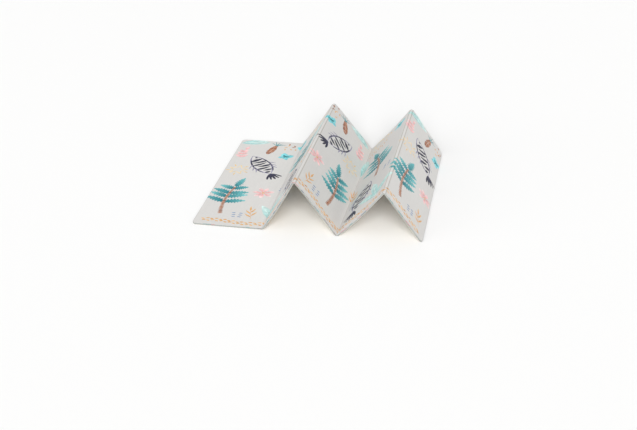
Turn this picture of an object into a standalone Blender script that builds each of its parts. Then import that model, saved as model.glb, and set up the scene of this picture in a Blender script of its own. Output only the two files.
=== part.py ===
"""A folding baby play mat, standing half unfolded in a zigzag on the floor.

The mat is one sheet of soft foam under a printed film. Pressed creases part it into five
panels. The first panel lies flat, and the other four stand as two tents. The fold lines run
along Y, the near end of the mat is at -Y, and the panels follow each other along +X.
Units are metres, +Z is up, and the origin is on the floor under the middle of the mat.
"""

import math

import bmesh
import bpy
from mathutils import Vector

# The sheet
THICKNESS = 0.010
FOLD_LENGTH = 0.900
CORNER_RADIUS = 0.018

# A bend turns round a small inner radius, and its outer side has two pressed lines
INNER_RADIUS = 0.003
BEND_RADIUS = INNER_RADIUS + THICKNESS / 2
CREASE_DEPTH = 0.0012
BEND_STEPS = 6
PRESSED_STEPS = (1, BEND_STEPS - 1)

# How finely the sheet is divided
PANEL_STEPS = 4
CORNER_STEPS = 4
LENGTH_STEPS = 8

# The far end of the mat lies this far along X from the near end
FAR_DRIFT = -0.004

# One row for each panel: its width between fold lines, and how far its middle bows out
PANEL_COLUMNS = ("name", "width", "bow")
PANELS = (
    ("lying", 0.323, 0.000),
    ("first_up", 0.286, -0.003),
    ("first_down", 0.312, 0.004),
    ("second_up", 0.308, -0.004),
    ("second_down", 0.281, 0.003),
)

# One row for each fold line: the height of the sheet's middle there, at the near and far end
LINE_COLUMNS = ("name", "near", "far")
LINES = (
    ("left_edge", THICKNESS / 2, THICKNESS / 2),
    ("first_valley", THICKNESS / 2, THICKNESS / 2),
    ("first_ridge", 0.250, 0.241),
    ("second_valley", -0.003, -0.003),
    ("second_ridge", 0.228, 0.234),
    ("right_edge", 0.000, 0.000),
)

FILM_COLOUR = (0.70, 0.69, 0.67, 1.0)
FILM_ROUGHNESS = 0.45


def clear_scene():
    for obj in list(bpy.data.objects):
        bpy.data.objects.remove(obj, do_unlink=True)


def table(columns, rows):
    return [dict(zip(columns, row)) for row in rows]


def fold_points(end):
    """The sharp points (x, z) of the sheet's middle line at the near or far end."""
    heights = [line[end] for line in table(LINE_COLUMNS, LINES)]
    x = FAR_DRIFT if end == "far" else 0.0
    points = [Vector((x, heights[0]))]
    for panel, low, high in zip(table(PANEL_COLUMNS, PANELS), heights, heights[1:]):
        x += math.sqrt(panel["width"] ** 2 - (high - low) ** 2)
        points.append(Vector((x, high)))
    return points


def rib(middle, normal, press_top=0.0, press_bottom=0.0):
    """The sheet's upper and lower point on one line through its thickness.

    The lower point stops on the floor, where the foam is pressed flat.
    """
    top = middle + normal * (THICKNESS / 2 - press_top)
    bottom = middle - normal * (THICKNESS / 2 - press_bottom)
    if bottom.y < 0:
        bottom = bottom.lerp(top, -bottom.y / (top.y - bottom.y))
        bottom.y = 0.0
    return top, bottom


def normal_of(direction):
    """The unit vector that points out of the upper side."""
    return Vector((-direction.y, direction.x))


def turn_between(before, after):
    """The angle from one panel's direction to the next, below zero over a ridge."""
    return math.atan2(before.cross(after), before.dot(after))


def bend_reach(before, after):
    """How far a bend reaches along each panel from the sharp fold line."""
    return BEND_RADIUS * math.tan(abs(turn_between(before, after)) / 2)


def bend_ribs(corner, before, after):
    """The ribs round one bend, with two pressed lines on its outer side."""
    turn = turn_between(before, after)
    is_ridge = turn < 0
    radius = -BEND_RADIUS if is_ridge else BEND_RADIUS
    start = corner - before * bend_reach(before, after)
    centre = start + normal_of(before) * radius
    ribs = []
    for step in range(BEND_STEPS + 1):
        angle = math.atan2(before.y, before.x) + turn * step / BEND_STEPS
        normal = normal_of(Vector((math.cos(angle), math.sin(angle))))
        press = CREASE_DEPTH if step in PRESSED_STEPS else 0.0
        press_top = press if is_ridge else 0.0
        press_bottom = 0.0 if is_ridge else press
        ribs.append(rib(centre - normal * radius, normal, press_top, press_bottom))
    return ribs


def panel_ribs(start, end, shares, bow):
    """The ribs across one panel at the given shares of its width, bowed in its middle."""
    normal = normal_of((end - start).normalized())
    ribs = []
    for share in shares:
        swell = bow * 4 * share * (1 - share)
        ribs.append(rib(start.lerp(end, share) + normal * swell, normal))
    return ribs


def corner_steps():
    """Distance from the sheet's edge and setback of its end, down a rounded corner."""
    steps = []
    for step in range(CORNER_STEPS + 1):
        angle = math.pi / 2 * step / CORNER_STEPS
        along = CORNER_RADIUS * (1 - math.cos(angle))
        setback = CORNER_RADIUS * (1 - math.sin(angle))
        steps.append((along, setback))
    return steps


def section(end):
    """All ribs of the near or far end, from the left edge to the right one."""
    points = fold_points(end)
    panels = table(PANEL_COLUMNS, PANELS)
    directions = [(b - a).normalized() for a, b in zip(points, points[1:])]
    last = len(panels) - 1
    ribs = []
    for i, panel in enumerate(panels):
        start, finish = points[i].copy(), points[i + 1].copy()
        width = (finish - start).length
        inner = [step / PANEL_STEPS for step in range(1, PANEL_STEPS)]
        edge = [along / width for along, setback in corner_steps()]
        if i > 0:
            start += directions[i] * bend_reach(directions[i - 1], directions[i])
        if i < last:
            finish -= directions[i] * bend_reach(directions[i], directions[i + 1])
        if i == 0:
            inner = edge + inner
        if i == last:
            inner = inner + [1 - share for share in reversed(edge)]
        ribs += panel_ribs(start, finish, inner, panel["bow"])
        if i < last:
            ribs += bend_ribs(points[i + 1], directions[i], directions[i + 1])
    return ribs


def setbacks(count):
    """How far each rib's ends stand back at the rounded corners of the sheet."""
    edge = [setback for along, setback in corner_steps()]
    return edge + [0.0] * (count - 2 * len(edge)) + edge[::-1]


def build_sheet(name, material):
    near, far = section("near"), section("far")
    backs = setbacks(len(near))
    across = [point.x for rib_pair in near + far for point in rib_pair]
    middle_x = (min(across) + max(across)) / 2
    mesh = bpy.data.meshes.new(name)
    shape = bmesh.new()

    def row(i, side):
        """The upper or lower points of rib i, from the near end to the far end."""
        start, finish = near[i][side], far[i][side]
        verts = []
        for step in range(LENGTH_STEPS + 1):
            share = step / LENGTH_STEPS
            at = start.lerp(finish, share)
            y = (FOLD_LENGTH / 2 - backs[i]) * (2 * share - 1)
            verts.append(shape.verts.new((at.x - middle_x, y, at.y)))
        return verts

    upper = [row(i, 0) for i in range(len(near))]
    lower = [row(i, 1) for i in range(len(near))]
    for (top_a, top_b), (low_a, low_b) in zip(zip(upper, upper[1:]), zip(lower, lower[1:])):
        for j in range(LENGTH_STEPS):
            shape.faces.new((top_a[j], top_b[j], top_b[j + 1], top_a[j + 1]))
            shape.faces.new((low_a[j], low_a[j + 1], low_b[j + 1], low_b[j]))
        shape.faces.new((low_a[0], low_b[0], top_b[0], top_a[0]))
        shape.faces.new((top_a[-1], top_b[-1], low_b[-1], low_a[-1]))
    for j in range(LENGTH_STEPS):
        shape.faces.new((lower[0][j], upper[0][j], upper[0][j + 1], lower[0][j + 1]))
        shape.faces.new((upper[-1][j], lower[-1][j], lower[-1][j + 1], upper[-1][j + 1]))
    shape.to_mesh(mesh)
    shape.free()
    mesh.materials.append(material)
    sheet = bpy.data.objects.new(name, mesh)
    bpy.context.scene.collection.objects.link(sheet)
    return sheet


def film_material():
    material = bpy.data.materials.new("printed_film")
    material.use_nodes = True
    shader = material.node_tree.nodes["Principled BSDF"]
    shader.inputs["Base Color"].default_value = FILM_COLOUR
    shader.inputs["Roughness"].default_value = FILM_ROUGHNESS
    shader.inputs["Metallic"].default_value = 0.0
    return material


clear_scene()
build_sheet("play_mat", film_material())
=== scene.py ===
"""Looks for the folding baby play mat: its printed film, edge, floor, light and camera.

The mat is one closed mesh. Each side is first laid out flat, where the outlines of the print's
motifs are edges of the mesh, and every point is then carried to its place on the folded sheet.
In the flat plane, s runs across the fold lines from the left edge and y runs along them.
Lengths are metres.
"""

import math
import random

import bpy
import numpy as np
from mathutils import Matrix, Vector, geometry


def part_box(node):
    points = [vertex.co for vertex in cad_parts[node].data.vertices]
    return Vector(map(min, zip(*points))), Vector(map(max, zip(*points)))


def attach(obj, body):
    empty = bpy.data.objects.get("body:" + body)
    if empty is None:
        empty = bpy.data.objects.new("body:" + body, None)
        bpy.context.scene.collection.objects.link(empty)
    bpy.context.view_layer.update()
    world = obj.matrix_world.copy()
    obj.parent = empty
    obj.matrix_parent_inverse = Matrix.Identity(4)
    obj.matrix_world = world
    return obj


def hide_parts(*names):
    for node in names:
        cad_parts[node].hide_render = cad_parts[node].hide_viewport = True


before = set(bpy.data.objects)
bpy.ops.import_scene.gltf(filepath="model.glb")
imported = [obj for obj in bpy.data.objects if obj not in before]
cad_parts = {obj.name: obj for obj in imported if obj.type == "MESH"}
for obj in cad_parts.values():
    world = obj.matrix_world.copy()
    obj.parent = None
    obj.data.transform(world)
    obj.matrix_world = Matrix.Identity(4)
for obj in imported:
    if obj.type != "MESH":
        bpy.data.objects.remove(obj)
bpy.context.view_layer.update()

# The sheet, with the sizes of its solid
THICKNESS = 0.010
FOLD_LENGTH = 0.900
CORNER_RADIUS = 0.018
BEND_RADIUS = 0.003 + THICKNESS / 2
FAR_DRIFT = -0.004

# One row for each panel: its width, how far its middle bows out, and how wavy its film is
PANEL_COLUMNS = ("name", "width", "bow", "wave")
PANELS = (
    ("lying", 0.323, 0.000, 0.0003),
    ("first_up", 0.286, -0.003, 0.0016),
    ("first_down", 0.312, 0.004, 0.0018),
    ("second_up", 0.308, -0.004, 0.0016),
    ("second_down", 0.281, 0.003, 0.0018),
)

# One row for each fold line: the height of the sheet's middle there, at the near and far end
LINE_COLUMNS = ("name", "near", "far")
LINES = (
    ("left_edge", THICKNESS / 2, THICKNESS / 2),
    ("first_valley", THICKNESS / 2, THICKNESS / 2),
    ("first_ridge", 0.250, 0.241),
    ("second_valley", -0.003, -0.003),
    ("second_ridge", 0.228, 0.234),
    ("right_edge", 0.000, 0.000),
)

# Pressed lines in the film: their shares of a bend, half width and depth, outside and inside
OUTER_PRESSED = (1 / 6, 5 / 6)
OUTER_HALF_WIDTH = 0.0011
OUTER_DEPTH = 0.0014
INNER_HALF_WIDTH = 0.0022
INNER_DEPTH = 0.0008
# How much the pressed lines darken the film's colour: painted shade in the creases, a little warm.
PRESSED_SHADE = np.array((0.40, 0.42, 0.48))

# The rounded rim, from the upper side to the lower one
RIM_REACH = 0.003
RIM_SQUARENESS = 0.65
RIM_ANGLES = (14, 30, 44, 58, 74, 86)

# How finely the flat sides are divided, and how far inner points stay from the edge
PANEL_PITCH = 0.018
LENGTH_PITCH = 0.020
CORNER_STEPS = 6
EDGE_MARGIN = 0.002
WELD = 1e-5
LEAST_AREA = 1e-14

# Short steps that give the directions of the folded sheet and of its rim
FACING_STEP = 0.0004
RIM_STEP = 0.0008


def table(columns, rows):
    return [dict(zip(columns, row)) for row in rows]


def along(angle):
    return np.array((math.cos(angle), math.sin(angle)))


def square_to(direction):
    """The direction turned a quarter to the left, which points out of the upper side."""
    return np.array((-direction[1], direction[0]))


def fold_points(end):
    """The sharp points (x, z) of the sheet's middle line at the near or far end."""
    heights = [line[end] for line in table(LINE_COLUMNS, LINES)]
    x = FAR_DRIFT if end == "far" else 0.0
    points = [np.array((x, heights[0]))]
    for panel, low, high in zip(table(PANEL_COLUMNS, PANELS), heights, heights[1:]):
        x += math.sqrt(panel["width"] ** 2 - (high - low) ** 2)
        points.append(np.array((x, high)))
    return points


def runs_of(end):
    """The stretches of the middle line at one end: a panel, a bend, a panel and so on."""
    points = fold_points(end)
    panels = table(PANEL_COLUMNS, PANELS)
    angles = [math.atan2(*(b - a)[::-1]) for a, b in zip(points, points[1:])]
    turns = [after - before for before, after in zip(angles, angles[1:])]
    reaches = [0.0] + [BEND_RADIUS * math.tan(abs(turn) / 2) for turn in turns] + [0.0]
    runs = []
    for i, panel in enumerate(panels):
        start = points[i] + along(angles[i]) * reaches[i]
        finish = points[i + 1] - along(angles[i]) * reaches[i + 1]
        length = np.linalg.norm(finish - start)
        runs.append({"start": start, "finish": finish, "length": length, **panel})
        if i < len(turns):
            length = BEND_RADIUS * abs(turns[i])
            runs.append({"start": finish, "angle": angles[i], "turn": turns[i], "length": length})
    return runs


NEAR_RUNS, FAR_RUNS = runs_of("near"), runs_of("far")
RUN_LENGTHS = [(a["length"] + b["length"]) / 2 for a, b in zip(NEAR_RUNS, FAR_RUNS)]
RUN_STARTS = np.concatenate([[0.0], np.cumsum(RUN_LENGTHS)])
FLAT_WIDTH = float(RUN_STARTS[-1])
LEFT_X = min(NEAR_RUNS[0]["start"][0], FAR_RUNS[0]["start"][0])
SHIFT_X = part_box("play_mat")[0].x - LEFT_X


def place_on(run, share):
    """Middle points and upward normals at the given shares of one run."""
    if "turn" in run:
        side = math.copysign(BEND_RADIUS, run["turn"])
        centre = run["start"] + square_to(along(run["angle"])) * side
        angle = run["angle"] + run["turn"] * share
        normal = np.column_stack((-np.sin(angle), np.cos(angle)))
        return centre - normal * side, normal
    line = run["finish"] - run["start"]
    flat_normal = square_to(line / run["length"])
    swell = run["bow"] * 4 * share * (1 - share)
    slope = run["bow"] * 4 * (1 - 2 * share) / run["length"] * np.sin(np.pi * share)
    normal = flat_normal - np.outer(slope, line / run["length"])
    normal /= np.linalg.norm(normal, axis=1)[:, None]
    return run["start"] + np.outer(share, line) + np.outer(swell, flat_normal), normal


def on_section(runs, s):
    middle, normal = np.zeros((len(s), 2)), np.zeros((len(s), 2))
    at = np.clip(np.searchsorted(RUN_STARTS, s, side="right") - 1, 0, len(runs) - 1)
    for i, run in enumerate(runs):
        chosen = at == i
        share = (s[chosen] - RUN_STARTS[i]) / RUN_LENGTHS[i]
        middle[chosen], normal[chosen] = place_on(run, share)
    return middle, normal


def pressed(s, upper):
    """How deep the pressed lines are at s, on the upper or the lower side."""
    depth = np.zeros(len(s))
    for start, length, run in zip(RUN_STARTS, RUN_LENGTHS, NEAR_RUNS):
        if "turn" not in run:
            continue
        outside = (run["turn"] < 0) == upper
        shares = OUTER_PRESSED if outside else (0.5,)
        half_width = OUTER_HALF_WIDTH if outside else INNER_HALF_WIDTH
        for share in shares:
            line = start + length * share
            depth += (OUTER_DEPTH if outside else INNER_DEPTH) * np.exp(-(((s - line) / half_width) ** 2))
    return depth


def waviness(s, y):
    """How far the sheet stands off its plain shape, as soft foam does between its folds."""
    lift = np.zeros(len(s))
    for i, (start, length, run) in enumerate(zip(RUN_STARTS, RUN_LENGTHS, NEAR_RUNS)):
        if "turn" in run:
            continue
        share = np.clip((s - start) / length, 0, 1)
        swing = np.sin(y * 9.0 + i * 1.7) + 0.5 * np.sin(y * 21.0 + share * 4.0 + i)
        flare = (2 * np.abs(y) / FOLD_LENGTH) ** 6
        lift += run["wave"] * np.sin(np.pi * share) ** 2 * (swing - flare)
    return lift


def place(s, y, height, upper):
    """Points of the folded sheet over flat places, at heights from its middle.

    What would be below the floor slides up along the sheet's thickness to stop on it.
    """
    s = np.clip(s, 0, FLAT_WIDTH)
    share = (y / FOLD_LENGTH + 0.5)[:, None]
    near_middle, near_normal = on_section(NEAR_RUNS, s)
    far_middle, far_normal = on_section(FAR_RUNS, s)
    middle = near_middle * (1 - share) + far_middle * share
    normal = near_normal * (1 - share) + far_normal * share
    press = pressed(s, upper) * np.abs(height) / (THICKNESS / 2)
    height = height - np.sign(height) * press + waviness(s, y)
    points = middle + normal * height[:, None]
    slide = np.where(points[:, 1] < 0, -points[:, 1] / np.maximum(normal[:, 1], 0.2), 0.0)
    points = points + normal * slide[:, None]
    return np.column_stack((points[:, 0] + SHIFT_X, y, points[:, 1]))


def unit(vectors):
    return vectors / np.maximum(np.linalg.norm(vectors, axis=1), 1e-12)[:, None]


def facing(s, y, height, upper):
    """The direction out of the sheet's upper or lower side at flat places."""
    low_s, high_s = (np.clip(s + step, 0, FLAT_WIDTH) for step in (-FACING_STEP, FACING_STEP))
    across = place(high_s, y, height, upper) - place(low_s, y, height, upper)
    lengthways = place(s, y + FACING_STEP, height, upper) - place(s, y - FACING_STEP, height, upper)
    normal = unit(np.cross(across, lengthways))
    return normal if upper else -normal


# Shapes of the print. A shape is its ink, its outline, and its tone from its first point
# to the point farthest from that, where 0 is the ink's light colour and 1 its dark one.


def shape(ink, outline, low, high):
    return {"ink": ink, "outline": np.array(outline, float), "low": low, "high": high}


def bent_line(start, angle, length, bend, steps):
    """Points and directions of a line that turns evenly by bend, with 0 degrees along +v."""
    points = [np.array(start, float)]
    ways = [along(math.radians(90 - angle - bend * step / steps)) for step in range(steps + 1)]
    for step in range(steps):
        halfway = math.radians(90 - angle - bend * (step + 0.5) / steps)
        points.append(points[-1] + along(halfway) * length / steps)
    return np.array(points), np.array(ways)


def ribbon(points, ways, widths):
    """The outline of a brush mark of the given widths along a line."""
    sideways = np.column_stack((ways[:, 1], -ways[:, 0])) * np.array(widths)[:, None] / 2
    return np.concatenate([points + sideways, (points - sideways)[::-1]])


def stroke(ink, start, angle, length, width, rng, bend=0.0, steps=5, tone=0.7, taper=0.0):
    """A brush stroke that swells in its middle, thins at its ends, and tapers away if asked."""
    points, ways = bent_line(start, angle, length, bend, steps)
    shares = np.linspace(0, 1, steps + 1)
    widths = width * (0.35 + 0.65 * np.sin(np.pi * shares) ** 0.6) * (1 - taper * shares)
    widths = [w * rng.uniform(0.85, 1.15) for w in widths]
    return shape(ink, ribbon(points, ways, widths), tone - 0.2, tone + 0.2)


def leaf(ink, start, angle, length, width, rng, bend=0.0, steps=9, low=0.1, high=0.9, fullest=0.42):
    """A leaf with a pointed tip, or a petal where it is short, widest at the share given by fullest."""
    points, ways = bent_line(start, angle, length, bend, steps)
    shares = np.linspace(0, 1, steps + 1) ** (math.log(0.5) / math.log(fullest))
    widths = np.maximum(width * np.sin(np.pi * shares) ** 0.8, 0.0012)
    widths = [w * rng.uniform(0.94, 1.06) for w in widths]
    return shape(ink, ribbon(points, ways, widths), low, high)


def blob(ink, centre, radius_u, radius_v, rng, corners=12, low=0.2, high=0.8):
    outline = []
    for corner in range(corners):
        swell = rng.uniform(0.93, 1.07)
        u, v = along(2 * math.pi * corner / corners) * swell
        outline.append((centre[0] + u * radius_u, centre[1] + v * radius_v))
    return shape(ink, outline, low, high)


def outline_strokes(ink, corners, width, rng, tone=0.5):
    """A drawn closed outline, one brush stroke from each corner to the next."""
    shapes = []
    for a, b in zip(corners, corners[1:] + corners[:1]):
        step = np.array(b) - np.array(a)
        angle = 90 - math.degrees(math.atan2(step[1], step[0]))
        length = float(np.linalg.norm(step))
        bend = rng.uniform(-8, 8)
        shapes.append(stroke(ink, a, angle - bend / 2, length, width, rng, bend, 4, tone))
    return shapes


# Motifs of the upper side, in their own axes: u to the right, v up, and the origin at the foot


def branch(rng):
    """A slim ringed brown stem with pairs of toothed teal leaves on its upper part."""
    rings, pairs = 22, 4
    points, ways = bent_line((0, 0), -8, 0.290, 26, rings)
    shapes = []
    for pair in range(pairs):
        at = points[int(rings * (0.44 + 0.16 * pair))]
        for side in (-1, 1):
            lean = side * rng.uniform(50, 66) + 8
            long = (0.114 - 0.010 * pair) * rng.uniform(0.9, 1.1)
            shapes.append(toothed_leaf(at, lean, long, side * 16, rng))
    shapes.append(toothed_leaf(points[-1], 14, 0.104, 8, rng))
    for ring in range(rings):
        width = 0.024 - 0.011 * ring / rings
        way = math.degrees(math.atan2(ways[ring][0], ways[ring][1])) + 90
        start = points[ring] - along(math.radians(90 - way)) * width / 2
        tone = rng.uniform(0.3, 0.9)
        shapes.append(stroke("brown", start, way - 12, width, 0.0120, rng, 24, 3, tone))
    return shapes


def toothed_leaf(start, angle, length, bend, rng):
    teeth = 7
    points, ways = bent_line(start, angle, length, bend, teeth * 2)
    shares = np.linspace(0, 1, teeth * 2 + 1)
    widths = 0.041 * np.sin(np.pi * shares**0.7) ** 0.7
    widths[1::2] *= 1.22
    widths[2:-1:2] *= 0.60
    widths = np.maximum([w * rng.uniform(0.9, 1.1) for w in widths], 0.002)
    return shape("teal", ribbon(points, ways, widths), rng.uniform(0.8, 1.1), rng.uniform(-0.1, 0.35))


def fish(rng):
    """A fish in navy brush strokes, striped across, with its tail at the origin and its nose up."""
    foot, length, lean, stripes = 0.058, 0.240, 42, 7
    half_turn = math.radians(lean)
    radius = length / (2 * math.sin(half_turn))
    arc = 2 * half_turn * radius
    shapes = []
    for side in (-1, 1):
        shapes.append(stroke("lilac", (0, foot), side * lean, arc, 0.0085, rng, side * -2 * lean, 12, 0.7))
        start = (side * 0.027, foot + 0.032)
        shapes.append(stroke("navy", start, side * 27, arc * 0.64, 0.0090, rng, side * -54, 9, 0.8))
        for fin in range(3):
            start = (side * (0.044 - 0.003 * fin), foot + 0.136 - 0.024 * fin)
            lean_back = side * (126 + 8 * fin)
            shapes.append(stroke("lilac", start, lean_back, 0.044, 0.0090, rng, side * 18, 4, 0.8, 0.5))
    for ray in (-46, -23, 0, 23, 46):
        start = (0, foot + 0.004)
        shapes.append(stroke("navy", start, 180 - ray, 0.068, 0.0110, rng, ray * 0.4, 4, 0.9, -0.3))
    for stripe in range(stripes):
        v = foot + length * (stripe + 1.0) / (stripes + 2.6)
        across = math.sqrt(radius**2 - (v - foot - length / 2) ** 2) - radius * math.cos(half_turn)
        side = 1 if stripe % 2 else -1
        long = across * rng.uniform(1.45, 1.8)
        start = (side * across * 0.96, v + 0.004)
        shapes.append(stroke("navy", start, -side * 97, long, 0.0215, rng, side * 22, 5, 1.0, 0.6))
    shapes.append(stroke("navy", (0.030, foot + 0.182), -58, 0.054, 0.0080, rng, -58, 5, 0.8))
    shapes.append(blob("navy", (0.008, foot + 0.212), 0.0070, 0.0070, rng, 9, 0.9, 1.0))
    return shapes


def cone(rng):
    """A brown cone of overlapping scales, with teal needles at its top."""
    shapes, rows, tall = [], 11, 0.118
    for row in range(rows):
        share = row / (rows - 1)
        half = 0.029 * math.sin(math.pi * (0.14 + 0.76 * share)) ** 0.7
        for side in (-1, 1):
            start = (side * -0.002, tall * (1 - share))
            tone = rng.uniform(0.2, 0.95)
            angle = side * rng.uniform(104, 120)
            shapes.append(stroke("brown", start, angle, half, 0.0125, rng, side * 24, 3, tone))
    for needle in range(5):
        lean = -52 + 26 * needle
        long = rng.uniform(0.044, 0.060)
        shapes.append(stroke("teal", (0, tall), lean, long, 0.0065, rng, lean * 0.3, 4, 0.7, 0.4))
    return shapes


def blossom(rng):
    """A pink flower of seven petals."""
    shapes = []
    for petal in range(7):
        angle = petal * 360 / 7 + rng.uniform(-8, 8)
        long = rng.uniform(0.046, 0.056)
        start = along(math.radians(90 - angle)) * 0.006
        shapes.append(leaf("pink", start, angle, long, 0.023, rng, rng.uniform(-14, 14), 7, 1.1, 0.0, 0.6))
    shapes.append(blob("ochre", (0, 0), 0.008, 0.008, rng, 9))
    return shapes


def sprig(rng):
    """A thin stem with pink leaves in pairs."""
    points = bent_line((0, 0), -12, 0.135, 30, 8)[0]
    shapes = [stroke("pink", (0, 0), -12, 0.135, 0.0030, rng, 30, 8, 0.5)]
    for at in (2, 4, 6):
        for side in (-1, 1):
            angle = side * rng.uniform(42, 58)
            long = 0.058 - at * 0.003
            shapes.append(leaf("pink", points[at], angle, long, 0.023, rng, side * -20, 7, 0.9, 0.2))
    shapes.append(leaf("pink", points[8], 18, 0.050, 0.022, rng, 4, 7, 0.8, 0.2))
    return shapes


def twig(rng):
    """An ochre twig with slim leaves."""
    shapes = [stroke("ochre", (0, 0), -6, 0.110, 0.0032, rng, 14, 6, 0.6)]
    for v, angle in ((0.030, -46), (0.045, 48), (0.070, -36), (0.085, 40), (0.108, 4)):
        shapes.append(leaf("ochre", (0, v), angle, 0.058, 0.0125, rng, angle * -0.3, 6, 0.9, 0.3))
    return shapes


def veined_leaf(start, angle, length, width, bend, rng):
    """A pale leaf, washed out towards its tip, with a lighter vein along it."""
    vein = stroke("pale_teal", start, angle, length * 0.86, 0.0045, rng, bend, 8, -0.6, 0.7)
    return [leaf("pale_teal", start, angle, length, width, rng, bend, 14, 1.1, 0.0, 0.5), vein]


def long_leaves(rng):
    """A fan of long pale leaves."""
    shapes = []
    for angle, length, bend in ((-30, 0.190, -18), (4, 0.240, 8), (37, 0.195, 22)):
        shapes += veined_leaf((0, 0), angle, length, 0.052, bend, rng)
    return shapes


def single_leaf(rng):
    return veined_leaf((0, 0), -10, 0.175, 0.060, 24, rng)


def butterfly(rng):
    """Small two-tone wings."""
    shapes = []
    for side in (-1, 1):
        shapes.append(leaf("aqua", (0, 0.004), side * 50, 0.046, 0.036, rng, side * -24, 8, 0.0, 0.3))
        shapes.append(leaf("aqua", (0, 0), side * 118, 0.034, 0.026, rng, side * 20, 7, 0.1, 0.4))
        shapes.append(leaf("teal", (0, 0.004), side * 54, 0.026, 0.014, rng, 0, 6, 0.9, 0.6))
    shapes.append(stroke("teal", (0, -0.018), 0, 0.040, 0.0050, rng, 0, 4, 0.9))
    return shapes


def star(rng):
    """A drawn star outline with short rays beside it."""
    corners = []
    for corner in range(10):
        radius = 0.062 if corner % 2 == 0 else 0.027
        corners.append(tuple(along(math.radians(90 + 36 * corner)) * radius))
    shapes = outline_strokes("straw", corners, 0.0062, rng)
    for ray in range(5):
        angle = 36 + 72 * ray
        start = along(math.radians(90 - angle)) * 0.046
        shapes.append(stroke("straw", start, angle, 0.030, 0.0075, rng, 0, 3, 1.1))
    return shapes


def cloud(rng):
    """A drawn cloud outline with ochre drops below it."""
    shapes = []
    bumps = ((-0.075, 0.0, 0.034), (-0.035, 0.034, 0.040), (0.020, 0.040, 0.044), (0.070, 0.008, 0.034))
    for u, v, radius in bumps:
        arc = math.pi * radius * 1.05
        shapes.append(stroke("straw", (u - radius, v), -20, arc, 0.0066, rng, 190, 9, 0.5))
    shapes.append(stroke("straw", (-0.105, -0.004), 96, 0.210, 0.0066, rng, -12, 6, 0.5))
    for drop in range(9):
        start = (-0.075 + 0.019 * drop, -0.030 - 0.014 * (drop % 3))
        shapes.append(leaf("ochre", start, 180, 0.024, 0.0095, rng, 0, 5, 0.3, 0.7))
    return shapes


def dashes(rng):
    """Short blue dashes in three rows."""
    shapes = []
    for row in range(3):
        for column in range(2):
            start = (-0.024 + 0.030 * column + rng.uniform(-0.003, 0.003), 0.018 * row)
            shapes.append(stroke("blue", start, 88, 0.019, 0.0068, rng, 6, 3, 0.6))
    return shapes


def seeds(rng):
    """A loose group of small ochre and brown seeds."""
    shapes = []
    for seed in range(8):
        centre = along(seed * 2.4) * (0.012 + 0.009 * seed ** 0.9) * 0.8
        ink = "ochre" if seed % 3 else "brown"
        shapes.append(leaf(ink, centre, rng.uniform(0, 180), 0.021, 0.0095, rng, 0, 5, 0.3, 0.8))
    return shapes


MOTIFS = {
    made.__name__: made
    for made in (
        branch, fish, cone, blossom, sprig, twig, long_leaves, single_leaf,
        butterfly, star, cloud, dashes, seeds,
    )
}

# The upper side's repeat: one row for each motif, with its foot, its turn to the right and its size.
# The repeat has two halves, each one fifth of the sheet wide, and every other pair is mirrored.
PLACED_COLUMNS = ("motif", "s", "y", "turn", "size")
FIRST_HALF = (
    ("branch", 0.100, -0.345, -4, 0.92),
    ("twig", 0.252, -0.382, -14, 0.74),
    ("dashes", 0.178, -0.368, 0, 0.95),
    ("blossom", 0.248, -0.125, 20, 0.90),
    ("star", 0.066, 0.098, 8, 0.80),
    ("fish", 0.268, 0.030, -36, 0.95),
    ("sprig", 0.050, 0.215, -4, 0.85),
    ("butterfly", 0.262, 0.270, 24, 1.00),
    ("cone", 0.168, 0.300, 14, 0.85),
    ("seeds", 0.265, 0.390, 0, 0.90),
    ("single_leaf", 0.006, 0.402, 78, 0.88),
)
SECOND_HALF = (
    ("fish", 0.222, -0.380, -14, 0.98),
    ("long_leaves", 0.047, -0.380, 10, 0.80),
    ("twig", 0.257, -0.190, 8, 0.95),
    ("branch", 0.122, -0.080, 6, 0.94),
    ("dashes", 0.040, -0.105, 0, 0.95),
    ("cloud", 0.200, 0.365, 4, 0.80),
    ("butterfly", 0.052, 0.370, -24, 1.05),
    ("single_leaf", 0.274, 0.108, 0, 1.04),
)
# One row for each fifth of the sheet: its half of the repeat, and -1 where it is mirrored
FIFTH_COLUMNS = ("half", "way")
FIFTHS = ((FIRST_HALF, 1), (SECOND_HALF, 1), (FIRST_HALF, -1), (SECOND_HALF, -1), (FIRST_HALF, 1))

# The dashed border beside the near edge of the upper side
BORDER_Y = -0.414
BORDER_PITCH = 0.0200
BORDER_SWING = 0.008


def carried(shapes, s, y, turn, size, way=1):
    """Shapes turned to the right, scaled, mirrored where way is -1, and moved to their place."""
    a = math.radians(-turn)
    spin = np.array(((math.cos(a), -math.sin(a)), (math.sin(a), math.cos(a)))) * size
    return [{**made, "outline": made["outline"] @ spin.T * (way, 1) + (s, y)} for made in shapes]


def border():
    """Two rows of short ochre brush marks in a slow wave along the near edge."""
    rng = random.Random(7)
    shapes = []
    for i in range(int((FLAT_WIDTH - 0.06) / BORDER_PITCH)):
        s = 0.03 + i * BORDER_PITCH
        y = BORDER_Y + BORDER_SWING * math.sin(s * 21)
        lean = 74 if i % 2 else 106
        for start, angle in (((s, y + 0.007), lean), ((s + 0.006, y - 0.009), 180 - lean)):
            shapes.append(stroke("ochre", start, angle, 0.0180, 0.0095, rng, 8, 3, rng.uniform(0.3, 0.9)))
    return shapes


def upper_print():
    """The border, then every motif of each fifth of the sheet."""
    shapes = border()
    wide = FLAT_WIDTH / len(FIFTHS)
    for number, fifth in enumerate(table(FIFTH_COLUMNS, FIFTHS)):
        way = fifth["way"]
        left = number * wide
        for count, row in enumerate(table(PLACED_COLUMNS, fifth["half"])):
            made = MOTIFS[row["motif"]](random.Random(100 * number + count))
            s = left + (row["s"] if way > 0 else wide - row["s"])
            shapes += carried(made, s, row["y"], row["turn"], row["size"], way)
    return shapes


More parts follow.
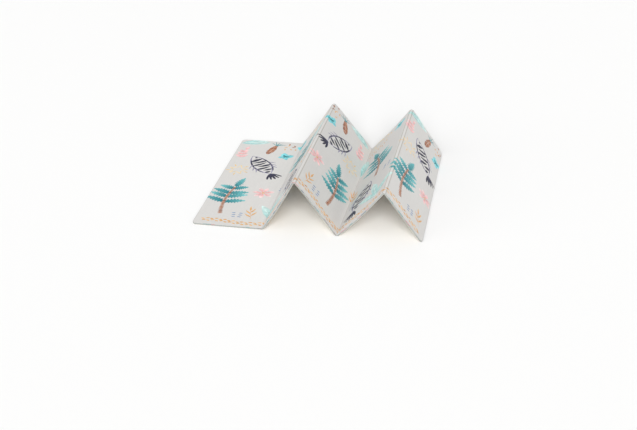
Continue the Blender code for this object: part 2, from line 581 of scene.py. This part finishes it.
# The lower side: garden plots with rounded corners between dashed paths
PLOTS_ACROSS = 6
PLOTS_ALONG = 4
PATH_WIDTH = 0.042
PLOT_RADIUS = 0.030
LINE_WIDTH = 0.0022
DASH_LENGTH = 0.014


def round_box_line(s0, y0, s1, y1, radius):
    """The corners of a box's outline with rounded corners, anticlockwise from its lower left."""
    points = []
    for centre, first in (((s0, y0), 180), ((s1, y0), 270), ((s1, y1), 0), ((s0, y1), 90)):
        inward = (radius if centre[0] == s0 else -radius, radius if centre[1] == y0 else -radius)
        middle = np.array(centre) + inward
        for step in range(5):
            points.append(middle + along(math.radians(first + 22.5 * step)) * radius)
    return points


def thin_outline(ink, points, width):
    """A closed line as one thin four-sided shape for each of its stretches."""
    shapes = []
    for a, b in zip(points, points[1:] + points[:1]):
        way = (b - a) / max(np.linalg.norm(b - a), 1e-9)
        side = square_to(way) * width / 2
        shapes.append(shape(ink, (a - side, b - side, b + side, a + side), 0.5, 0.5))
    return shapes


def bush(rng):
    ink = rng.choice(("leaf_green", "leaf_green", "moss", "lemon"))
    return [
        blob(ink, (0, 0.014), 0.011, 0.015, rng, 10, 0.3, 0.7),
        blob("slate", (0, -0.003), 0.0012, 0.005, rng, 5, 0.6, 0.6),
    ]


def tulip(rng):
    ink = rng.choice(("poppy", "tangerine", "lemon"))
    shapes = [blob("moss", (0, -0.006), 0.0012, 0.009, rng, 5, 0.6, 0.6)]
    for angle in (-26, 0, 26):
        shapes.append(leaf(ink, (0, 0), angle, 0.017, 0.009, rng, 0, 5, 0.2, 0.8))
    return shapes


def shed(rng):
    """A small plain hut with a pitched roof and grey boards."""
    roof = rng.choice(("tangerine", "poppy", "pond"))
    shapes = [shape(roof, ((-0.020, 0.014), (0.020, 0.014), (0.010, 0.028), (-0.010, 0.028)), 0.4, 0.6)]
    for board in range(4):
        left = -0.016 + 0.009 * board
        corners = ((left, -0.006), (left + 0.005, -0.006), (left + 0.005, 0.011), (left, 0.011))
        shapes.append(shape("slate", corners, 0.2, 0.4))
    return shapes


def pond(rng):
    return [blob("pond", (0, 0), 0.034, 0.019, rng, 14, 0.3, 0.6)]


def beds(rng):
    """Rows of short yellow marks, as in a kitchen garden."""
    shapes = []
    for row in range(4):
        for column in range(4):
            start = (-0.030 + 0.018 * column, -0.018 + 0.012 * row)
            shapes.append(stroke("lemon", start, 78, 0.011, 0.0050, rng, 0, 2, 0.5))
    return shapes


def lower_print():
    rng = random.Random(11)
    shapes = []
    pitch_s, pitch_y = FLAT_WIDTH / PLOTS_ACROSS, FOLD_LENGTH / PLOTS_ALONG
    for i in range(PLOTS_ACROSS):
        for j in range(PLOTS_ALONG):
            s0 = i * pitch_s + PATH_WIDTH / 2
            y0 = -FOLD_LENGTH / 2 + j * pitch_y + PATH_WIDTH / 2
            s1, y1 = s0 + pitch_s - PATH_WIDTH, y0 + pitch_y - PATH_WIDTH
            shapes += thin_outline("path_line", round_box_line(s0, y0, s1, y1, PLOT_RADIUS), LINE_WIDTH)
            inner = 0.012
            box = (s0 + inner, y0 + inner, s1 - inner, y1 - inner)
            shapes += thin_outline("path_faint", round_box_line(*box, PLOT_RADIUS - inner), LINE_WIDTH * 0.6)
            shapes += planted(rng, s0, y0, s1, y1)
    for i in range(1, PLOTS_ACROSS):
        for k in range(int(FOLD_LENGTH / (2 * DASH_LENGTH))):
            y = -FOLD_LENGTH / 2 + (2 * k + 0.5) * DASH_LENGTH
            shapes.append(bar("path_line", i * pitch_s - LINE_WIDTH / 2, y, LINE_WIDTH, DASH_LENGTH))
    for j in range(1, PLOTS_ALONG):
        y = -FOLD_LENGTH / 2 + j * pitch_y - LINE_WIDTH / 2
        for k in range(int(FLAT_WIDTH / (2 * DASH_LENGTH))):
            shapes.append(bar("path_line", (2 * k + 0.5) * DASH_LENGTH, y, DASH_LENGTH, LINE_WIDTH))
    return shapes


def bar(ink, s, y, wide, high):
    return shape(ink, ((s, y), (s + wide, y), (s + wide, y + high), (s, y + high)), 0.5, 0.5)


def planted(rng, s0, y0, s1, y1):
    """One larger thing in the middle of a plot, with small plants round it."""
    middle = ((s0 + s1) / 2, (y0 + y1) / 2)
    centre_piece = rng.choice((pond, beds, shed, beds))
    shapes = carried(centre_piece(rng), *middle, rng.uniform(-12, 12), rng.uniform(0.9, 1.15))
    count = 11
    for i in range(count):
        angle = 2 * math.pi * (i + rng.uniform(-0.25, 0.25)) / count
        s = middle[0] + math.cos(angle) * (s1 - s0 - 0.070) / 2
        y = middle[1] + math.sin(angle) * (y1 - y0 - 0.070) / 2
        made = rng.choice((bush, tulip, bush, shed))(rng)
        size = 0.62 if len(made) == 5 else rng.uniform(0.7, 1.05)
        shapes += carried(made, s, y, rng.uniform(-25, 25), size)
    return shapes


def srgb(red, green, blue):
    """Linear values of a colour given as screen values from 0 to 255."""
    values = np.array((red, green, blue)) / 255
    return np.where(values <= 0.04045, values / 12.92, ((values + 0.055) / 1.055) ** 2.4)


# Each ink's light and dark colour
INKS = {
    "teal": (srgb(118, 196, 198), srgb(2, 116, 128)),
    "pale_teal": (srgb(210, 231, 227), srgb(158, 208, 206)),
    "aqua": (srgb(140, 222, 228), srgb(62, 172, 186)),
    "brown": (srgb(196, 140, 108), srgb(140, 84, 60)),
    "navy": (srgb(96, 96, 122), srgb(34, 34, 58)),
    "lilac": (srgb(196, 192, 208), srgb(136, 132, 158)),
    "pink": (srgb(242, 222, 220), srgb(232, 158, 160)),
    "ochre": (srgb(236, 200, 148), srgb(210, 150, 84)),
    "straw": (srgb(240, 220, 178), srgb(238, 200, 128)),
    "blue": (srgb(136, 168, 204), srgb(76, 112, 160)),
    "leaf_green": (srgb(172, 210, 116), srgb(120, 172, 74)),
    "moss": (srgb(112, 146, 84), srgb(70, 110, 56)),
    "lemon": (srgb(248, 222, 104), srgb(238, 190, 56)),
    "tangerine": (srgb(244, 176, 64), srgb(230, 146, 34)),
    "poppy": (srgb(214, 92, 70), srgb(186, 50, 40)),
    "pond": (srgb(146, 182, 212), srgb(104, 150, 192)),
    "slate": (srgb(150, 148, 144), srgb(96, 94, 92)),
    "path_line": (srgb(176, 168, 154), srgb(150, 142, 130)),
    "path_faint": (srgb(214, 206, 192), srgb(200, 192, 178)),
}
UPPER_GROUND = srgb(215, 213, 210)
LOWER_GROUND = srgb(238, 230, 216)

# The rim: its own grey darkened with painted shade, and the painted shade on each row of film that wraps
# round the edge
RIM_COLOUR_WITH_PAINTED_SHADE = srgb(150, 153, 150)
WRAPPED_FILM_PAINTED_SHADE = (0.86, 0.78, 0.72, 0.66)

# Marks that the cut film leaves along the rim: their colours, lengths, and the gaps between them
RIM_MARKS = (
    srgb(92, 132, 132),
    srgb(78, 86, 104),
    srgb(132, 118, 118),
    srgb(168, 116, 118),
    srgb(104, 110, 116),
)
MARK_LENGTHS = (0.006, 0.038)
MARK_GAPS = (0.004, 0.050)


# The flat sides


def flat_lines():
    """Places of the mesh's lines across the folds, and which of them are ribs in a bend."""
    lines, ribs = [], []
    for start, length, run in zip(RUN_STARTS, RUN_LENGTHS, NEAR_RUNS):
        if "turn" in run:
            near_line = [d * OUTER_HALF_WIDTH for d in (-1.8, -1.1, -0.5, 0, 0.5, 1.1, 1.8)]
            found = [start + length * share + d for share in OUTER_PRESSED for d in near_line]
            found += [start + length * share for share in (0.34, 0.42, 0.5, 0.58, 0.66)]
            found = sorted(found)
            lines += found
            ribs += found
        else:
            steps = round(length / PANEL_PITCH)
            lines += [start + length * step / steps for step in range(1, steps)]
    return sorted(lines), set(ribs)


def rim_corner(s, y):
    """For points on the flat outline, the nearest point of the box inside the round corners."""
    return (
        np.clip(s, CORNER_RADIUS, FLAT_WIDTH - CORNER_RADIUS),
        np.clip(y, CORNER_RADIUS - FOLD_LENGTH / 2, FOLD_LENGTH / 2 - CORNER_RADIUS),
    )


def flat_outline(s_lines, y_lines):
    """The edge of a flat side, inside the rim, anticlockwise."""
    radius = CORNER_RADIUS - RIM_REACH
    left, right = RIM_REACH, FLAT_WIDTH - RIM_REACH
    near, far = RIM_REACH - FOLD_LENGTH / 2, FOLD_LENGTH / 2 - RIM_REACH
    inner_s = [s for s in s_lines if CORNER_RADIUS < s < FLAT_WIDTH - CORNER_RADIUS]
    inner_y = [y for y in y_lines if abs(y) < FOLD_LENGTH / 2 - CORNER_RADIUS]

    def corner(centre, first):
        turns = [first + 90 * step / CORNER_STEPS for step in range(CORNER_STEPS + 1)]
        return [tuple(np.array(centre) + along(math.radians(t)) * radius) for t in turns]

    return (
        corner((left + radius, near + radius), 180)
        + [(s, near) for s in inner_s]
        + corner((right - radius, near + radius), 270)
        + [(right, y) for y in inner_y]
        + corner((right - radius, far - radius), 0)
        + [(s, far) for s in reversed(inner_s)]
        + corner((left + radius, far - radius), 90)
        + [(left, y) for y in reversed(inner_y)]
    )


def is_inside(s, y):
    corner_s, corner_y = rim_corner(np.array([s]), np.array([y]))
    return math.hypot(s - corner_s[0], y - corner_y[0]) < CORNER_RADIUS - RIM_REACH - EDGE_MARGIN


def flat_side(shapes):
    """A flat side as points, triangles, and the shape that shows on each triangle, or -1."""
    s_lines, ribs = flat_lines()
    steps = round(FOLD_LENGTH / LENGTH_PITCH)
    y_lines = [FOLD_LENGTH * (step / steps - 0.5) for step in range(1, steps)]
    outline = flat_outline(s_lines, y_lines)
    points = [Vector(p) for p in outline]
    edges = []
    faces = [list(range(len(points)))]
    near, far = RIM_REACH - FOLD_LENGTH / 2, FOLD_LENGTH / 2 - RIM_REACH
    for s in s_lines:
        inside = [(s, y) for y in y_lines if is_inside(s, y)]
        if s in ribs:
            inside = [(s, near)] + inside + [(s, far)]
            first = len(points)
            edges += [(first + i, first + i + 1) for i in range(len(inside) - 1)]
        points += [Vector(p) for p in inside]
    for made in shapes:
        first, flat = len(points), made["outline"]
        ahead = np.roll(flat, -1, axis=0)
        if np.sum(flat[:, 0] * ahead[:, 1] - ahead[:, 0] * flat[:, 1]) < 0:
            flat = flat[::-1]
        points += [Vector(p) for p in flat]
        faces.append(list(range(first, len(points))))
    out_points, _, triangles, _, _, owners = geometry.delaunay_2d_cdt(points, edges, faces, 0, WELD)
    flat_points = np.array([tuple(p) for p in out_points])
    kept = [i for i, owner in enumerate(owners) if 0 in owner]
    shown = np.array([max(owners[i]) - 1 for i in kept])
    return flat_points, np.array([triangles[i] for i in kept]), shown


def turned_to(flat_points, triangles):
    """Triangles with their corners anticlockwise."""
    a, b, c = (flat_points[triangles[:, i]] for i in range(3))
    area = (b[:, 0] - a[:, 0]) * (c[:, 1] - a[:, 1]) - (b[:, 1] - a[:, 1]) * (c[:, 0] - a[:, 0])
    kept = np.abs(area) > LEAST_AREA
    triangles = np.where((area < 0)[:, None], triangles[:, ::-1], triangles)
    return triangles, kept


def side_colours(flat_points, triangles, shown, shapes, ground, upper):
    """The colour and the amount of ink at each corner of each triangle, with painted shade along the pressed
    lines.
    """
    colours = np.zeros((len(triangles), 3, 4))
    colours[:, :, :3] = ground
    for number, made in enumerate(shapes):
        found = np.nonzero(shown == number)[0]
        if not len(found):
            continue
        outline = made["outline"]
        reach = outline - outline[0]
        way = reach[np.argmax(np.sum(reach**2, axis=1))]
        corners = flat_points[triangles[found]] - outline[0]
        share = np.clip(corners @ way / max(way @ way, 1e-12), 0, 1)
        tone = (made["low"] + (made["high"] - made["low"]) * share)[:, :, None]
        light, dark = INKS[made["ink"]]
        colours[found, :, :3] = light * (1 - tone) + dark * tone
        colours[found, :, 3] = 1.0
    # Painted shade along the pressed lines: the film's colour is darkened most where the creases are deepest.
    crease_shade = pressed(flat_points[triangles.ravel(), 0], upper) / OUTER_DEPTH
    colours[:, :, :3] *= 1 - PRESSED_SHADE * crease_shade.reshape(-1, 3, 1)
    return colours


def boundary_loop(triangles):
    """The outer points of a triangulated side in order, with the triangle beside each edge."""
    follows, beside = {}, {}
    for number, corners in enumerate(triangles):
        for a, b in zip(corners, np.roll(corners, -1)):
            if (b, a) in beside:
                beside[(b, a)] = None
            else:
                beside[(a, b)] = number
    for (a, b), number in beside.items():
        if number is not None:
            follows[a] = (b, number)
    start = min(follows)
    loop, numbers, at = [], [], start
    while True:
        loop.append(at)
        at, number = follows[at]
        numbers.append(number)
        if at == start:
            return loop, numbers


class MeshParts:
    """Points, faces and their corner values, gathered from the sides and the rim."""

    def __init__(self):
        self.places = []
        self.normals = []
        self.flat = []
        self.faces = []
        self.colours = []
        self.slots = []

    def add_points(self, places, normals, flat):
        first = sum(len(p) for p in self.places)
        self.places.append(places)
        self.normals.append(normals)
        self.flat.append(flat)
        return first

    def add_face(self, corners, colours, slot):
        self.faces.append(tuple(int(c) for c in corners))
        self.colours.append(colours)
        self.slots.append(slot)


def rim_profile():
    """Reach outward, height and the outward normal of each row from one side to the middle."""
    rows = []
    for degrees in RIM_ANGLES:
        a = math.radians(degrees)
        reach = RIM_REACH * math.sin(a) ** RIM_SQUARENESS
        height = THICKNESS / 2 * math.cos(a) ** RIM_SQUARENESS
        rows.append((reach, height, math.sin(a), math.cos(a)))
    return rows


def add_side(parts, shapes, ground, upper):
    """One printed side with its half of the rim. Returns the rim's last row."""
    flat, triangles, shown = flat_side(shapes)
    triangles, kept = turned_to(flat, triangles)
    triangles, shown = triangles[kept], shown[kept]
    used = np.unique(triangles)
    renumber = np.zeros(len(flat), int)
    renumber[used] = np.arange(len(used))
    flat, triangles = flat[used], renumber[triangles]
    colours = side_colours(flat, triangles, shown, shapes, ground, upper)
    sign = 1 if upper else -1
    height = np.full(len(flat), sign * THICKNESS / 2)
    s, y = flat[:, 0], flat[:, 1]
    first = parts.add_points(place(s, y, height, upper), facing(s, y, height, upper), flat)
    slot = 0 if upper else 1
    for corners, tints in zip(triangles, colours):
        if upper:
            parts.add_face(first + corners, tints, slot)
        else:
            parts.add_face(first + corners[::-1], tints[::-1], slot)
    loop, beside = boundary_loop(triangles)
    loop_flat = flat[loop]
    start = int(np.argmin(np.hypot(loop_flat[:, 0], loop_flat[:, 1] + FOLD_LENGTH / 2 - CORNER_RADIUS)))
    loop, beside = np.roll(loop, -start), np.roll(beside, -start)
    loop_flat = flat[loop]
    corner_s, corner_y = rim_corner(loop_flat[:, 0], loop_flat[:, 1])
    outward = unit(loop_flat - np.column_stack((corner_s, corner_y)))
    above = first + np.array(loop)
    row_colours = [colours[number].mean(axis=0) for number in beside]
    tints = rim_tints(loop_flat) if upper else np.tile(RIM_COLOUR_WITH_PAINTED_SHADE, (len(loop_flat), 1))
    for number, (reach, row_height, out_part, up_part) in enumerate(rim_profile()):
        at = loop_flat + outward * reach
        row_heights = np.full(len(at), sign * row_height)
        places = place(at[:, 0], at[:, 1], row_heights, upper)
        inner = loop_flat + outward * (reach - RIM_STEP)
        out_way = unit(places - place(inner[:, 0], inner[:, 1], row_heights, upper))
        up_way = facing(loop_flat[:, 0], loop_flat[:, 1], row_heights, upper)
        row = parts.add_points(places, unit(out_way * out_part + up_way * up_part), at)
        below = row + np.arange(len(at))
        add_rim_row(parts, above, below, number, row_colours, tints, slot, upper)
        above = below
    return above, loop_flat


def rim_marks(length):
    """The marks along a rim of the given length, as start, end and colour."""
    rng = random.Random(23)
    marks, at = [], 0.0
    while at < length:
        at += rng.uniform(*MARK_GAPS)
        end = at + rng.uniform(*MARK_LENGTHS)
        marks.append((at, end, rng.choice(RIM_MARKS)))
        at = end
    return marks


def rim_tints(loop_flat):
    """The rim's colour, painted shade included, at each point of its loop, with the marks blended in."""
    steps = np.linalg.norm(np.roll(loop_flat, -1, axis=0) - loop_flat, axis=1)
    travelled = np.concatenate([[0.0], np.cumsum(steps)[:-1]])
    tints = np.tile(RIM_COLOUR_WITH_PAINTED_SHADE, (len(loop_flat), 1))
    for start, end, colour in rim_marks(float(steps.sum())):
        tints[(travelled >= start) & (travelled <= end)] = colour
    return tints


def add_rim_row(parts, above, below, number, row_colours, tints, slot, upper):
    """One row of the rim: first the film that wraps round the edge, darkened row by row with painted shade,
    then the bare rim.
    """
    wrapped = number < len(WRAPPED_FILM_PAINTED_SHADE)
    count = len(above)
    for i in range(count):
        j = (i + 1) % count
        if wrapped:
            # Painted shade: the wrapped film is darkened more on each row towards the rim's middle.
            colour, ink = row_colours[i][:3] * WRAPPED_FILM_PAINTED_SHADE[number], row_colours[i][3]
        else:
            colour, ink = tints[i], 0.0
        tint = np.append(colour, ink)
        corners = (above[i], below[i], below[j], above[j])
        if not upper:
            corners = corners[::-1]
        parts.add_face(corners, np.tile(tint, (4, 1)), slot if wrapped else 2)


def zip_rows(parts, upper_row, upper_flat, lower_row, lower_flat):
    """Joins the two halves of the rim, whose rows have different numbers of points."""

    def travelled(flat):
        steps = np.linalg.norm(np.roll(flat, -1, axis=0) - flat, axis=1)
        return np.concatenate([[0.0], np.cumsum(steps)]) / steps.sum()

    upper_at, lower_at = travelled(upper_flat), travelled(lower_flat)
    i = j = 0
    # The join takes the rim's colour with its painted shade, made a fifth darker.
    tint = np.tile(np.append(RIM_COLOUR_WITH_PAINTED_SHADE * 0.8, 0.0), (3, 1))
    while i < len(upper_row) or j < len(lower_row):
        up, low = upper_row[i % len(upper_row)], lower_row[j % len(lower_row)]
        step_upper = j == len(lower_row) or (i < len(upper_row) and upper_at[i + 1] <= lower_at[j + 1])
        if step_upper:
            parts.add_face((up, low, upper_row[(i + 1) % len(upper_row)]), tint, 2)
            i += 1
        else:
            parts.add_face((up, low, lower_row[(j + 1) % len(lower_row)]), tint, 2)
            j += 1


def build_mat(materials):
    parts = MeshParts()
    upper_row, upper_flat = add_side(parts, upper_print(), UPPER_GROUND, True)
    lower_row, lower_flat = add_side(parts, lower_print(), LOWER_GROUND, False)
    zip_rows(parts, upper_row, upper_flat, lower_row, lower_flat)
    places = np.concatenate(parts.places)
    normals = np.concatenate(parts.normals)
    flat = np.concatenate(parts.flat)
    mesh = bpy.data.meshes.new("folded_play_mat")
    mesh.from_pydata(places.tolist(), [], parts.faces)
    for material in materials:
        mesh.materials.append(material)
    mesh.polygons.foreach_set("material_index", parts.slots)
    mesh.shade_smooth()
    tints = mesh.color_attributes.new("print", "FLOAT_COLOR", "CORNER")
    tints.data.foreach_set("color", np.concatenate(parts.colours).astype(np.float32).ravel())
    corners = np.zeros(len(mesh.loops), int)
    mesh.loops.foreach_get("vertex_index", corners)
    sheet_map = mesh.uv_layers.new(name="sheet")
    sheet_map.uv.foreach_set("vector", flat[corners].astype(np.float32).ravel())
    mesh.normals_split_custom_set_from_vertices(normals.tolist())
    mat = bpy.data.objects.new("folded_play_mat", mesh)
    bpy.context.scene.collection.objects.link(mat)
    return mat


# Materials

LINEN_PITCH = 0.0016


class Nodes:
    """A material's nodes, with short calls to add and join them."""

    def __init__(self, name):
        self.material = bpy.data.materials.new(name)
        self.material.use_nodes = True
        self.tree = self.material.node_tree
        self.shader = self.tree.nodes["Principled BSDF"]

    def add(self, kind, inputs=None, **settings):
        node = self.tree.nodes.new(kind)
        for name, value in settings.items():
            setattr(node, name, value)
        for name, value in (inputs or {}).items():
            if isinstance(value, bpy.types.NodeSocket):
                self.tree.links.new(value, node.inputs[name])
            else:
                node.inputs[name].default_value = value
        return node

    def maths(self, operation, a, b=0.0, c=0.0):
        return self.add("ShaderNodeMath", {0: a, 1: b, 2: c}, operation=operation).outputs[0]

    def join(self, output, name):
        self.tree.links.new(output, self.shader.inputs[name])


def film_material(name, roughness):
    """Printed film with a fine linen emboss, and ink that is a little uneven like watercolour."""
    nodes = Nodes(name)
    sheet = nodes.add("ShaderNodeUVMap", uv_map="sheet").outputs["UV"]
    tint = nodes.add("ShaderNodeVertexColor", layer_name="print")
    wash = nodes.add("ShaderNodeTexNoise", {"Vector": sheet, "Scale": 46.0, "Detail": 3.0, "Roughness": 0.6})
    speck = nodes.add("ShaderNodeTexNoise", {"Vector": sheet, "Scale": 420.0, "Detail": 2.0})
    streaks = nodes.add("ShaderNodeMapping", {"Vector": sheet, "Scale": (260.0, 9.0, 1.0)})
    streak_inputs = {"Vector": streaks.outputs["Vector"], "Scale": 1.0, "Detail": 2.0}
    streak = nodes.add("ShaderNodeTexNoise", streak_inputs)
    wash_lift = nodes.maths("MULTIPLY_ADD", wash.outputs["Fac"], 1.1, 0.46)
    speck_lift = nodes.maths("MULTIPLY_ADD", speck.outputs["Fac"], 0.22, 0.89)
    ink_lift = nodes.maths("MULTIPLY", wash_lift, speck_lift)
    ground_wash = nodes.maths("MULTIPLY_ADD", wash.outputs["Fac"], 0.05, 0.925)
    ground_lift = nodes.maths("MULTIPLY_ADD", streak.outputs["Fac"], 0.10, ground_wash)
    lift = nodes.add("ShaderNodeMix", {"Factor": tint.outputs["Alpha"], "A": ground_lift, "B": ink_lift})
    colour = nodes.add(
        "ShaderNodeVectorMath", {0: tint.outputs["Color"], "Scale": lift.outputs["Result"]}, operation="SCALE"
    )
    nodes.join(colour.outputs["Vector"], "Base Color")
    parts = nodes.add("ShaderNodeSeparateXYZ", {"Vector": sheet})
    warp = nodes.maths("SINE", nodes.maths("MULTIPLY", parts.outputs["X"], 2 * math.pi / LINEN_PITCH))
    weft = nodes.maths("SINE", nodes.maths("MULTIPLY", parts.outputs["Y"], 2 * math.pi / LINEN_PITCH))
    linen = nodes.maths("MULTIPLY", nodes.maths("ADD", warp, weft), 0.5)
    uneven = nodes.add("ShaderNodeTexNoise", {"Vector": sheet, "Scale": 900.0, "Detail": 1.0})
    linen = nodes.maths("MULTIPLY", linen, uneven.outputs["Fac"])
    fine = nodes.add("ShaderNodeBump", {"Height": linen, "Distance": 0.00012, "Strength": 0.6})
    soft = nodes.add("ShaderNodeTexNoise", {"Vector": sheet, "Scale": 26.0, "Detail": 2.0})
    soft_height = soft.outputs["Fac"]
    whole = nodes.add(
        "ShaderNodeBump",
        {"Height": soft_height, "Distance": 0.0016, "Strength": 0.35, "Normal": fine.outputs["Normal"]},
    )
    nodes.join(whole.outputs["Normal"], "Normal")
    shine = nodes.maths("MULTIPLY_ADD", speck.outputs["Fac"], 0.16, roughness - 0.08)
    nodes.join(shine, "Roughness")
    nodes.shader.inputs["Specular IOR Level"].default_value = 0.42
    return nodes.material


def rim_material():
    """The film's pressed rim, with faint marks along it."""
    nodes = Nodes("pressed_rim")
    sheet = nodes.add("ShaderNodeUVMap", uv_map="sheet").outputs["UV"]
    tint = nodes.add("ShaderNodeVertexColor", layer_name="print")
    marks = nodes.add("ShaderNodeTexNoise", {"Vector": sheet, "Scale": 160.0, "Detail": 3.0})
    lift = nodes.maths("MULTIPLY_ADD", marks.outputs["Fac"], 0.16, 0.92)
    colour = nodes.add("ShaderNodeVectorMath", {0: tint.outputs["Color"], "Scale": lift}, operation="SCALE")
    nodes.join(colour.outputs["Vector"], "Base Color")
    bump = nodes.add("ShaderNodeBump", {"Height": marks.outputs["Fac"], "Distance": 0.0004, "Strength": 0.4})
    nodes.join(bump.outputs["Normal"], "Normal")
    nodes.shader.inputs["Roughness"].default_value = 0.48
    return nodes.material


# Floor, light and camera

FOCAL_PIXELS = 1000
IMAGE_WIDTH = 637
SENSOR_WIDTH = 36.0
CAMERA_PLACE = Vector((0.822, -4.140, 2.160))
CAMERA_PITCH = math.radians(28.70)
CAMERA_YAW = math.radians(11.65)
CAMERA_ROLL = math.radians(-1.14)
FLOOR_HALF = 70.0
FLOOR_LEVEL = -0.0004


def add_camera():
    data = bpy.data.cameras.new("photo_camera")
    data.sensor_width = SENSOR_WIDTH
    data.lens = FOCAL_PIXELS / IMAGE_WIDTH * SENSOR_WIDTH
    camera = bpy.data.objects.new("photo_camera", data)
    bpy.context.scene.collection.objects.link(camera)
    forward = Vector((
        -math.sin(CAMERA_YAW) * math.cos(CAMERA_PITCH),
        math.cos(CAMERA_YAW) * math.cos(CAMERA_PITCH),
        -math.sin(CAMERA_PITCH),
    ))
    level_right = Vector((math.cos(CAMERA_YAW), math.sin(CAMERA_YAW), 0))
    level_up = level_right.cross(forward)
    right = level_right * math.cos(CAMERA_ROLL) + level_up * math.sin(CAMERA_ROLL)
    up = level_up * math.cos(CAMERA_ROLL) - level_right * math.sin(CAMERA_ROLL)
    camera.matrix_world = Matrix.LocRotScale(CAMERA_PLACE, Matrix((right, up, -forward)).transposed(), None)
    bpy.context.scene.camera = camera


def add_floor():
    mesh = bpy.data.meshes.new("floor")
    half, level = FLOOR_HALF, FLOOR_LEVEL
    corners = [(-half, -half, level), (half, -half, level), (half, half, level), (-half, half, level)]
    mesh.from_pydata(corners, [], [(0, 1, 2, 3)])
    floor = bpy.data.objects.new("floor", mesh)
    bpy.context.scene.collection.objects.link(floor)
    nodes = Nodes("pale_floor")
    nodes.shader.inputs["Base Color"].default_value = (0.92, 0.92, 0.915, 1.0)
    nodes.shader.inputs["Roughness"].default_value = 0.9
    mesh.materials.append(nodes.material)


# One row for each far-off soft lamp: where it shines from, how wide it looks in degrees, its strength
LAMP_COLUMNS = ("name", "place", "spread", "strength")
LAMPS = (
    ("behind_camera", (0.5, -3.2, 1.9), 34, 2.9),
    ("left", (-2.4, -1.9, 1.5), 50, 0.64),
)
WORLD_COLOUR = (1.0, 1.0, 1.0, 1.0)
WORLD_STRENGTH = 0.52


def add_lights():
    for row in table(LAMP_COLUMNS, LAMPS):
        data = bpy.data.lights.new(row["name"], "SUN")
        data.energy = row["strength"]
        data.angle = math.radians(row["spread"])
        lamp = bpy.data.objects.new(row["name"], data)
        lamp.location = row["place"]
        lamp.rotation_euler = Vector(row["place"]).to_track_quat("Z", "Y").to_euler()
        bpy.context.scene.collection.objects.link(lamp)
    world = bpy.data.worlds.new("studio")
    world.use_nodes = True
    background = world.node_tree.nodes["Background"]
    background.inputs["Color"].default_value = WORLD_COLOUR
    background.inputs["Strength"].default_value = WORLD_STRENGTH
    bpy.context.scene.world = world
    bpy.context.scene.view_settings.view_transform = "Standard"


materials = (film_material("printed_film", 0.54), film_material("printed_film_back", 0.56), rim_material())
mat = build_mat(materials)
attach(mat, "root")
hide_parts("play_mat")
add_camera()
add_lights()
add_floor()
